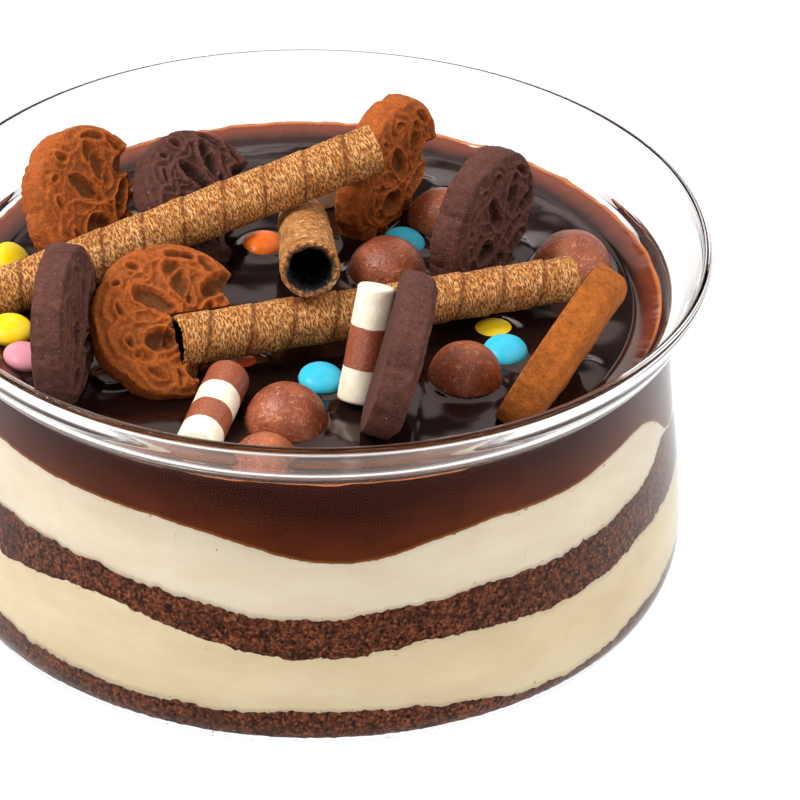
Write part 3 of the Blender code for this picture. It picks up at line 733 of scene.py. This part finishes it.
def toppings_near(points):
    """How far the chocolate is drawn up at each point by the toppings that stand in it."""
    lift = np.zeros(len(points))
    for (x, y, z), radius in BALLS.values():
        reach = math.sqrt(max(radius ** 2 - (z - GANACHE_LEVEL / MM) ** 2, 1.0))
        away = np.hypot(points[:, 0] - x, points[:, 1] - y) - reach
        lift = np.maximum(lift, 1.1 * np.exp(-np.maximum(away, 0.0) / 1.3))
    for (x, y, z), _, _, _ in LENTILS.values():
        away = np.hypot(points[:, 0] - x, points[:, 1] - y) - LENTIL_RADIUS
        lift = np.maximum(lift, 0.7 * np.exp(-np.maximum(away, 0.0) / 1.0))
    for (x, y, _), radius, azimuth, elevation, _, _, _ in COOKIES.values():
        along = np.array([math.cos(math.radians(azimuth)), math.sin(math.radians(azimuth))])
        offset = points[:, :2] - (x, y)
        run = np.clip(offset @ along, -radius * 0.8, radius * 0.8)
        away = np.linalg.norm(offset - run[:, None] * along, axis=1) - COOKIE_TOP / 2
        lift = np.maximum(lift, 0.9 * np.exp(-np.maximum(away, 0.0) / 1.6))
    return lift


def ganache_height(points):
    """Height (mm) of the chocolate at points (mm) on its top."""
    reach = np.hypot(points[:, 0], points[:, 1])
    waves = 0.65 * wander(points, 24.0, 2) + 0.05 * wander(points + 40.0, 8.0, 2)
    calm = smooth_step((GANACHE_FLAT_RADIUS / MM - reach) / 8.0)
    wall = float(inner_radius(GANACHE_EDGE_HEIGHT)) / MM
    climb = np.clip((reach - GANACHE_FLAT_RADIUS / MM) / (wall - GANACHE_FLAT_RADIUS / MM), 0.0, 1.0)
    turn = np.arctan2(points[:, 1], points[:, 0])
    edge = np.stack([np.cos(turn) * 9.0, np.sin(turn) * 9.0, np.zeros(len(points))], 1)
    rim = GANACHE_CLIMB / MM * np.sqrt(climb) + 0.6 * wander(edge, 0.8, 4) * climb ** 5
    return GANACHE_LEVEL / MM + calm * (waves + toppings_near(points)) + rim


def make_ganache(surface, side_surface):
    low = np.maximum(
        boundary_heights("upper_cream_top"), boundary_heights("upper_sponge_top") + LEAST_LAYER)
    wall = float(inner_radius(GANACHE_EDGE_HEIGHT)) + WALL_BITE
    close_in = 84.0 * MM
    radii = np.concatenate([
        np.linspace(wall, close_in, 16), np.linspace(close_in, 1.0 * MM, 84)[1:]])
    top = []
    for radius in radii:
        flat = ring(radius, 0.0, LAYER_STEPS)
        points = flat / MM
        flat[:, 2] = ganache_height(points) * MM
        top.append(flat)
    rings = inward(wall_ring(low), low.mean(), (0.4, 0.8), 0.05 * MM) + [wall_ring(low)]
    rings += side_between(low, top[0][:, 2], 6) + top
    mesh = loft("ganache", rings, (0, 0, low.mean()), (0, 0, top[-1][:, 2].mean()))
    set_attribute(mesh, "foot", np.append(np.tile(low, len(rings)), (low.mean(), low.mean())))
    piece("chocolate_top", mesh, surface, ["ganache"])
    mesh.materials.append(side_surface)
    side_limit = wall - 1.2 * MM
    for face in mesh.polygons:
        at_side = math.hypot(face.center.x, face.center.y) > side_limit and abs(face.normal.z) < 0.5
        face.material_index = 1 if at_side else 0


# ================================================================ toppings
def upright(centre, azimuth, elevation, spin=0.0):
    """The place of a piece whose local +Z faces an azimuth and an elevation."""
    return (
        Matrix.Translation(Vector(centre) * MM)
        @ Matrix.Rotation(math.radians(azimuth), 4, "Z")
        @ Matrix.Rotation(math.radians(90.0 - elevation), 4, "X")
        @ Matrix.Rotation(math.radians(spin), 4, "Z")
    )


def between_points(start, end):
    """The place of a piece that was made along Z, from the origin, and its length (mm)."""
    direction = Vector(end) - Vector(start)
    turn = direction.to_track_quat("Z", "Y").to_matrix().to_4x4()
    return Matrix.Translation(Vector(start) * MM) @ turn, direction.length


def away_from_oval(u, v, middle, half_length, half_width, turn):
    """About how far points lie outside an oval's outline (below 0 inside it)."""
    cosine, sine = math.cos(math.radians(turn)), math.sin(math.radians(turn))
    along = (u - middle[0]) * cosine + (v - middle[1]) * sine
    across = (v - middle[1]) * cosine - (u - middle[0]) * sine
    scaled = np.sqrt((along / half_length) ** 2 + (across / half_width) ** 2) + 1e-6
    slope = np.sqrt((along / half_length ** 2) ** 2 + (across / half_width ** 2) ** 2) + 1e-6
    return (scaled - 1.0) * scaled / slope


def cookie_relief(u, v):
    """Height (mm) of the moulded face at points given as fractions of the radius."""
    height = np.zeros_like(u)
    ridges = 0.35 * np.exp(-((np.hypot(u, v) - 0.86) / 0.035) ** 2)
    for kind, x, y, half_length, half_width, turn in COOKIE_MOULD:
        depth, side, outline = MOULD_KINDS[kind]
        away = away_from_oval(u, v, (x, y), half_length, half_width, turn)
        height = np.minimum(height, -depth * smooth_step(-away / side))
        ridges = np.maximum(ridges, outline * np.exp(-((away - 0.012) / 0.030) ** 2))
        if kind == "oval":
            ridges = np.maximum(ridges, 0.75 * outline * np.exp(-((away - 0.115) / 0.034) ** 2))
    return height + ridges


def cookie_mesh(name, radius, kept, kind, seed):
    """A moulded biscuit in rings from the middle of its face, over its edge, to its back."""
    columns, rows = COOKIE_COLUMNS, COOKIE_ROWS
    thickness = PLAIN_COOKIE_THICKNESS if kind == "plain" else COOKIE_TOP
    angles = turns_round(columns)
    lobes = np.abs(np.cos(4.5 * angles + seed)) ** 0.5
    limit = radius * 1.008 - (0.3 if kind == "plain" else 1.0) * (1.0 - lobes)
    limit -= 0.12 * np.abs(np.sin(45.0 * angles))
    edge_spots = np.stack([np.cos(angles) * 20.0, np.sin(angles) * 20.0, np.full(columns, seed * 31.0)], 1)
    limit += 0.30 * wander(edge_spots, 4.5, 3)
    limit = np.minimum(limit, radius * 1.012)
    facing = np.maximum(np.cos(angles), 0.02)
    jag = 0.8 * wander(edge_spots * 2.0, 4.0, 4)
    if kept < 0.9:
        for turn, width, depth in COOKIE_BITES:
            away = (angles - math.radians(turn) + math.pi) % (2 * math.pi) - math.pi
            jag -= depth * np.exp(-away ** 2 / width ** 2)
    broken = (radius * kept + jag) / facing
    is_broken = broken < limit
    limit = np.minimum(limit, broken)
    rings, relief = [], []
    for fraction in np.linspace(1.0 / rows, 1.0, rows):
        reach = limit * fraction
        x, y = reach * np.cos(angles), reach * np.sin(angles)
        warp = np.stack([x, y, np.full(columns, seed * 17.0)], 1)
        du, dv = 0.055 * wander(warp, 7.0, 3), 0.055 * wander(warp + 70.0, 7.0, 3)
        low = np.zeros(columns)
        if kind != "plain":
            low = cookie_relief(x / radius + du, y / radius + dv)
            wrinkles = np.exp(-(wander(warp + 5.0, 6.0, 2) / 0.09) ** 2)
            low = np.where(low > -0.3, np.maximum(low, 0.6 * wrinkles), low) - 0.80
        low += 0.55 * wander(warp + 30.0, 6.0, 2) if kind == "plain" else 0.0
        rim = np.clip((np.hypot(x, y) / radius - 0.80) / 0.20, 0.0, 1.0)
        shoulder = (COOKIE_TOP - COOKIE_EDGE) * (1.0 - np.sqrt(np.maximum(1.0 - rim ** 2, 0.0)))
        low = low * (1.0 - smooth_step((rim - 0.55) / 0.45)) + 0.12 * wander(warp, 1.1, 2)
        rings.append(np.stack([x, y, thickness / 2 + np.minimum(low, 0.45) - shoulder], 1))
        relief.append(low)
    top = rings[-1][:, 2].copy()
    back = -thickness / 2
    for share in np.linspace(0.08, 1.0, 12):
        bulge = np.where(is_broken, 0.0, 0.30 * math.sin(math.pi * share))
        reach = limit + bulge
        spots = np.stack([reach * np.cos(angles), reach * np.sin(angles), top + (back - top) * share], 1)
        rough = np.where(is_broken, 0.65, 0.32) * wander(spots + seed, 1.8, 3) - 0.15
        spots[:, 0] += rough * np.cos(angles)
        spots[:, 1] += rough * np.sin(angles)
        rings.append(spots)
        relief.append(np.where(is_broken, -1.0, 0.0))
    for fraction in (0.97, 0.7, 0.35):
        spots = rings[-1].copy()
        spots[:, 0] = limit * fraction * np.cos(angles)
        spots[:, 1] = limit * fraction * np.sin(angles)
        spots[:, 2] = back
        rings.append(spots)
        relief.append(np.zeros(columns))
    middle = (0.0, 0.0, rings[0][:, 2].mean())
    mesh = loft(name, np.array(rings) * MM, np.array(middle) * MM, (0.0, 0.0, back * MM))
    # The relief is kept for the material, which paints shade into the hollows and a highlight onto the
    # ridges from it.
    set_attribute(mesh, "relief", np.concatenate(relief + [[relief[0].mean(), 0.0]]))
    return mesh


def cutter_for(name):
    """A round bar that is a little larger than a roll, a stick or a biscuit, in the same place."""
    grow = ROOM_GROWTH
    if name in COOKIES:
        centre, first, azimuth, elevation, _, _, _ = COOKIES[name]
        last, low, high = first, -COOKIE_TOP / 2 - grow, COOKIE_TOP / 2 + grow
        place = upright(centre, azimuth, elevation)
    else:
        start, first, end, last = ROLLS.get(name) or STICKS_AS_ROLLS[name]
        place, length = between_points(start, end)
        low, high = -grow, length + grow
    rings = [ring((first + grow) * MM, low * MM, 64), ring((last + grow) * MM, high * MM, 64)]
    mesh = loft(name + "_room", rings, (0, 0, low * MM), (0, 0, high * MM))
    obj = bpy.data.objects.new(name + "_room", mesh)
    bpy.context.scene.collection.objects.link(obj)
    obj.matrix_world = place
    return obj


def cut_away(obj, other):
    """Cut the room of a roll, a stick or another biscuit out of a piece, and apply it."""
    cutter = cutter_for(other)
    modifier = obj.modifiers.new("Room", "BOOLEAN")
    modifier.operation = "DIFFERENCE"
    modifier.solver = "EXACT"
    modifier.object = cutter
    bpy.context.view_layer.update()
    graph = bpy.context.evaluated_depsgraph_get()
    mesh = bpy.data.meshes.new_from_object(obj.evaluated_get(graph))
    obj.modifiers.clear()
    obj.data = mesh
    bpy.data.objects.remove(cutter)


def make_cookies(surfaces):
    for index, (name, (centre, radius, azimuth, elevation, spin, kept, kind)) in enumerate(COOKIES.items()):
        mesh = cookie_mesh(name, radius, kept, kind, index + 1.0)
        obj = piece(name + "_baked", mesh, surfaces["cookie_" + kind], [name],
                    upright(centre, azimuth, elevation, spin))
        for cookie, other in NOTCHES:
            if cookie == name:
                cut_away(obj, other)


def make_rolls(surface):
    """Wafer tubes wound from a strip: every turn of the strip steps out over the next."""
    columns = ROLL_COLUMNS
    turns = turns_round(columns)
    for index, (name, (start, first, end, last)) in enumerate(ROLLS.items()):
        place, length = between_points(start, end)
        rows = int(length / ROLL_ROW)
        rings, seams, bore_shades = [], [], []
        ragged = np.stack([np.cos(turns) * 5.0, np.sin(turns) * 5.0, np.full(columns, index * 9.0)], 1)
        for share in np.linspace(0.0, 1.0, rows):
            along = length * share
            phase = (along / ROLL_PITCH + turns / (2.0 * math.pi) + 0.37 * index) % 1.0
            radius = first + (last - first) * share - 0.28 + 0.34 * phase
            spots = np.stack([
                np.cos(turns) * 7.0, np.sin(turns) * 7.0, np.full(columns, along + index * 50.0)], 1)
            radius = radius + 0.10 * wander(spots, 1.2, 3) + 0.18 * wander(spots, 7.0, 2) - 0.06
            end_share = max(1.0 - min(along, length - along) / 2.0, 0.0)
            towards_middle = 1.0 if share < 0.5 else -1.0
            shift = 0.8 * np.abs(wander(ragged, 1.3, 4)) * end_share * towards_middle
            inset = 0.4 * end_share ** 3
            rings.append(np.stack([
                (radius - inset) * np.cos(turns), (radius - inset) * np.sin(turns), along + shift], 1))
            seam = np.exp(-((phase - 0.05) / 0.055) ** 2)
            seams.append(seam * (0.85 + 0.6 * wander(spots, 2.0, 2)))
            bore_shades.append(np.zeros(columns))
        # The inside of the tube, marked for the painted shade that the material puts there.
        for share in np.linspace(1.0, 0.0, BORE_ROWS):
            along = 0.9 + (length - 1.8) * share
            spots = np.stack([np.cos(turns) * 4.0, np.sin(turns) * 4.0, np.full(columns, along * 2.0)], 1)
            bore = first + (last - first) * share - ROLL_WALL + 0.55 * wander(spots, 1.5, 4)
            rings.append(np.stack([bore * np.cos(turns), bore * np.sin(turns), np.full(columns, along)], 1))
            seams.append(np.zeros(columns))
            bore_shades.append(np.ones(columns))
        mesh = loft(name, np.array(rings) * MM, tube=True)
        set_attribute(mesh, "seam", np.clip(np.concatenate(seams), 0.0, 1.0))
        set_attribute(mesh, "bore_shade", np.concatenate(bore_shades))
        piece(name + "_baked", mesh, surface, [name], place)


def make_sticks():
    for name, (start, end, radius) in STICKS.items():
        place, length = between_points(start, end)
        edges, first_brown = STICK_BANDS[name]
        surface = stick_surface(name + "_sweet", edges, first_brown)
        bevel = STICK_BEVEL
        profile = arc((radius - bevel, bevel), bevel, -90, 0, 6)
        profile += [(radius, z) for z in np.linspace(bevel, length - bevel, 24)[1:-1]]
        profile += arc((radius - bevel, length - bevel), bevel, 0, 90, 6)
        rings = np.array([ring(r * MM, z * MM, STICK_COLUMNS) for r, z in profile])
        flat = rings.reshape(-1, 3)
        lumps = wander(flat / MM, 6.0, 3)
        flat[:, :2] *= 1.0 - 0.018 * (1.0 + lumps)[:, None]
        mesh = loft(name, rings, (0, 0, 0), (0, 0, length * MM))
        piece(name + "_candy", mesh, surface, [name], place)


def ball_mesh(name, radius, squash, steps, rows, lump, seed):
    """A round sweet with slight lumps, its shape squashed along Z."""
    rings = []
    for tilt in np.linspace(-90.0, 90.0, rows + 2)[1:-1]:
        across, up = math.cos(math.radians(tilt)), math.sin(math.radians(tilt))
        rings.append(ring(radius * across, radius * up * squash, steps))
    rings = np.array(rings)
    flat = rings.reshape(-1, 3)
    flat *= (1.0 - lump + lump * wander(flat + seed * 13.0, radius * 0.9, 3))[:, None]
    low, high = rings[0][:, 2].mean(), rings[-1][:, 2].mean()
    return loft(name, rings * MM, (0, 0, low * 1.002 * MM), (0, 0, high * 1.002 * MM))


def make_balls(surface):
    for index, (name, (centre, radius)) in enumerate(BALLS.items()):
        mesh = ball_mesh(name, radius, 1.0, 64, 40, 0.02, index + 1.0)
        turn = Matrix.Rotation(0.9 * index, 4, "X") @ Matrix.Rotation(1.7 * index, 4, "Z")
        piece(name + "_coated", mesh, surface, [name], Matrix.Translation(Vector(centre) * MM) @ turn)


def make_lentils(surfaces):
    squash = LENTIL_HALF_HEIGHT / LENTIL_RADIUS
    for index, (name, (centre, azimuth, elevation, colour)) in enumerate(LENTILS.items()):
        mesh = ball_mesh(name, LENTIL_RADIUS, squash, 56, 28, 0.008, index + 20.0)
        piece(name + "_shell", mesh, surfaces["lentil_" + colour], [name],
              upright(centre, azimuth, elevation))


# ================================================================ stage
def make_stage():
    scene = bpy.context.scene
    camera = bpy.data.objects.new("camera", bpy.data.cameras.new("camera"))
    scene.collection.objects.link(camera)
    camera.data.lens = CAMERA_LENS
    camera.data.sensor_width = FILM_WIDTH
    camera.data.clip_start = 0.05
    camera.matrix_world = (
        Matrix.Translation(CAMERA_PLACE)
        @ Matrix.Rotation(math.radians(90.0 - CAMERA_DOWN), 4, "X")
        @ Matrix.Rotation(math.radians(-CAMERA_YAW), 4, "Y")
        @ Matrix.Rotation(math.radians(CAMERA_ROLL), 4, "Z")
    )
    scene.camera = camera

    bpy.ops.mesh.primitive_circle_add(
        vertices=96, radius=FLOOR_RADIUS, fill_type="NGON", location=(0, 0, 0))
    floor = bpy.context.object
    floor.name = "floor"
    ground = Surface("floor", (FLOOR_GREY,) * 3, 0.9, Specular_IOR_Level=0.0)
    ground.set("Emission Color", (1.0, 1.0, 1.0, 1.0))
    ground.set("Emission Strength", FLOOR_GLOW)
    floor.data.materials.append(ground.material)

    world = bpy.data.worlds.new("studio")
    scene.world = world
    world.use_nodes = True
    tree = world.node_tree
    direction = tree.nodes.new("ShaderNodeTexCoord")
    split = tree.nodes.new("ShaderNodeSeparateXYZ")
    ramp = tree.nodes.new("ShaderNodeValToRGB")
    for element in WORLD_RAMP[2:]:
        ramp.color_ramp.elements.new(element[0])
    for element, (position, brightness) in zip(ramp.color_ramp.elements, WORLD_RAMP):
        element.position = position
        element.color = (*(brightness * tint for tint in WORLD_TINT), 1.0)
    tree.links.new(direction.outputs["Generated"], split.inputs[0])
    tree.links.new(split.outputs["Z"], ramp.inputs[0])
    tree.links.new(ramp.outputs[0], tree.nodes["Background"].inputs[0])
    tree.nodes["Background"].inputs[1].default_value = WORLD_STRENGTH

    for softbox in SOFTBOXES:
        add_softbox(*softbox)
    scene.view_settings.view_transform = "Standard"
    scene.view_settings.look = "None"


def add_softbox(name, place, size, power):
    data = bpy.data.lights.new(name, "AREA")
    data.shape = "SQUARE"
    data.size = size
    data.energy = power
    obj = bpy.data.objects.new(name, data)
    bpy.context.scene.collection.objects.link(obj)
    obj.location = place
    aim = Vector(LIGHT_AIM) - Vector(place)
    obj.rotation_euler = aim.to_track_quat("-Z", "Y").to_euler()


def main():
    make_stage()
    make_bowl(glass_surface())
    sponge, cream = sponge_surface(), cream_surface()
    make_layer("sponge_lower", None, "lower_sponge_top", 8, sponge)
    make_crumbs(sponge)
    make_layer("cream_lower", "lower_sponge_top", "lower_cream_top", 10, cream)
    make_layer("sponge_upper", "lower_cream_top", "upper_sponge_top", 8, sponge)
    make_layer("cream_upper", "upper_sponge_top", "upper_cream_top", 10, cream)
    make_ganache(ganache_surface(), ganache_side_surface())
    make_cookies({
        "cookie_" + kind: cookie_surface("biscuit_" + kind, *colours)
        for kind, colours in BISCUIT_COLOURS.items()})
    make_rolls(wafer_surface())
    make_sticks()
    make_balls(ball_surface())
    make_lentils({
        "lentil_" + colour: shell_surface("shell_" + colour, value)
        for colour, value in SHELL_COLOURS.items()})


main()
